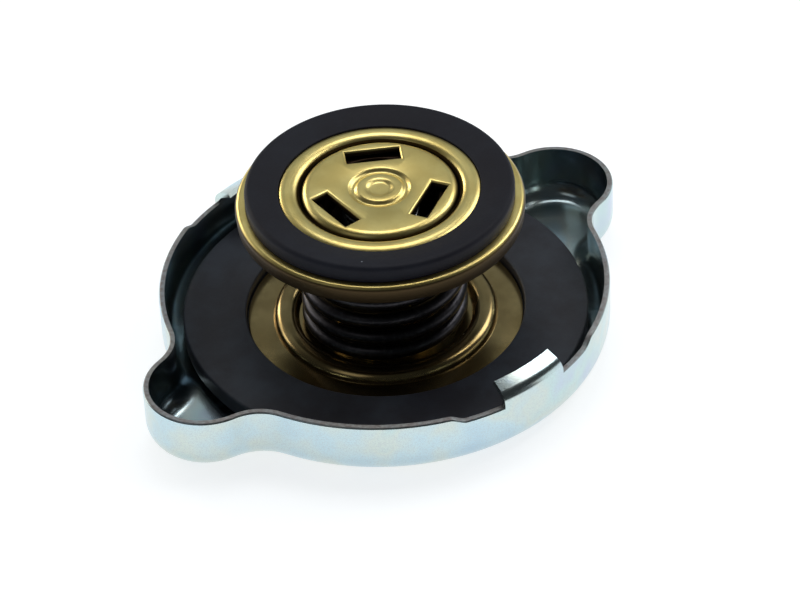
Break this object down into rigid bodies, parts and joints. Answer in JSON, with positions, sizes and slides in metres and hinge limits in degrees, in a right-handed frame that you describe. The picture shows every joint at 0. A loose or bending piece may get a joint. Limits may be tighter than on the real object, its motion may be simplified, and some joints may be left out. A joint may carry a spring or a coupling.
{
  "type": "coolant filler pressure cap",
  "caption": "Bayonet pressure cap with two ears, locking tabs, a large gasket, and a sprung brass valve with a rubber ring and a small vacuum valve inside.",
  "frame": {"origin": "on the cap's axis, in the plane of the outer face that the cap lies on", "axes": "+Z along the axis from the outer face towards the valve; +X along the two ears; the locking tabs are at +Y and -Y"},
  "size_m": [0.0604, 0.0468, 0.0192],
  "materials": {
    "shell_steel": "zinc-plated sheet steel, satin, faintly blue",
    "rivet_steel": "plain steel",
    "disc_steel": "thin spring steel sheet",
    "gasket_rubber": "black rubber, smooth",
    "seal_rubber": "black rubber, smooth",
    "bell_brass": "pressed brass, satin",
    "valve_brass": "pressed brass, satin",
    "spring_steel": "dark oiled spring wire"
  },
  "bodies": {
    "shell": {"cap_shell": "shell_steel"},
    "carrier": {"centre_rivet": "rivet_steel", "rivet_washer": "rivet_steel", "diaphragm_spring": "disc_steel", "main_gasket": "gasket_rubber", "spring_bell": "bell_brass", "guide_cup": "bell_brass", "pressure_spring": "spring_steel"},
    "pressure_valve": {"stop_sleeve": "valve_brass", "valve_plate": "valve_brass", "pressure_seal": "seal_rubber", "seal_retainer": "valve_brass", "vacuum_cage": "valve_brass", "vacuum_spring": "spring_steel"},
    "vacuum_disc": {"vacuum_valve": "valve_brass", "vacuum_seal": "seal_rubber"}
  },
  "joints": [
    {"name": "swivel", "type": "hinge", "parent": "shell", "child": "carrier", "pos_m": [0, 0, 0], "axis": [0, 0, 1], "continuous": true},
    {"name": "pressure_lift", "type": "slide", "parent": "carrier", "child": "pressure_valve", "axis": [0, 0, -1], "range_m": [0, 0.004], "stiffness_N_per_m": 3000, "springref_m": -0.012, "deforming": ["pressure_spring"]},
    {"name": "vacuum_open", "type": "slide", "parent": "pressure_valve", "child": "vacuum_disc", "axis": [0, 0, 1], "range_m": [0, 0.0012], "stiffness_N_per_m": 150, "springref_m": -0.002, "deforming": ["vacuum_spring"]}
  ]
}
